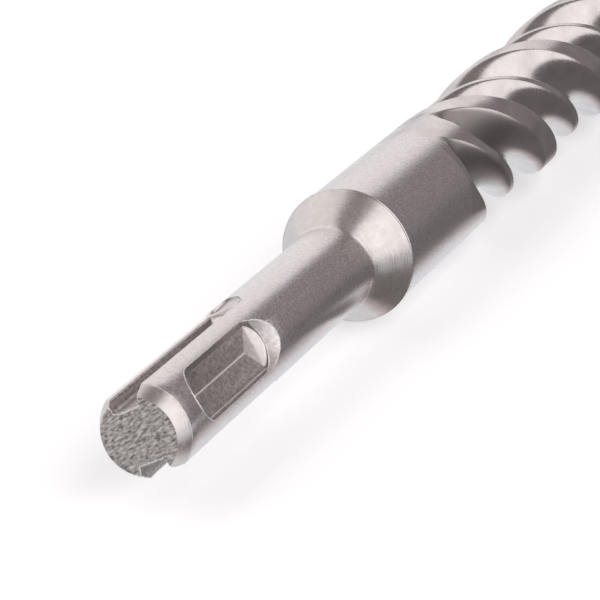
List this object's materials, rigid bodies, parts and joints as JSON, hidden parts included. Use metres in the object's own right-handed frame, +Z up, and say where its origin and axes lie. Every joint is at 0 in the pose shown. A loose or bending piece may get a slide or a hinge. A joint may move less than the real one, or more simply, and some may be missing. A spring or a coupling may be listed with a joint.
{
  "type": "masonry drill bit",
  "caption": "Masonry drill bit with a slotted quick-change shank, turned collar, spiral flutes and a brazed hard-metal cutting plate.",
  "frame": {"origin": "centre of the shank's flat end face", "axes": "+X along the bit from the shank end to the cutting tip, +Z up as the bit lies on its side"},
  "size_m": [0.21, 0.0162, 0.0164],
  "materials": {
    "satin_steel": "turned and blasted satin steel",
    "ground_hard_metal": "ground hard metal"
  },
  "bodies": {
    "root": {"drill_body": "satin_steel", "carbide_tip": "ground_hard_metal"}
  },
  "joints": []
}
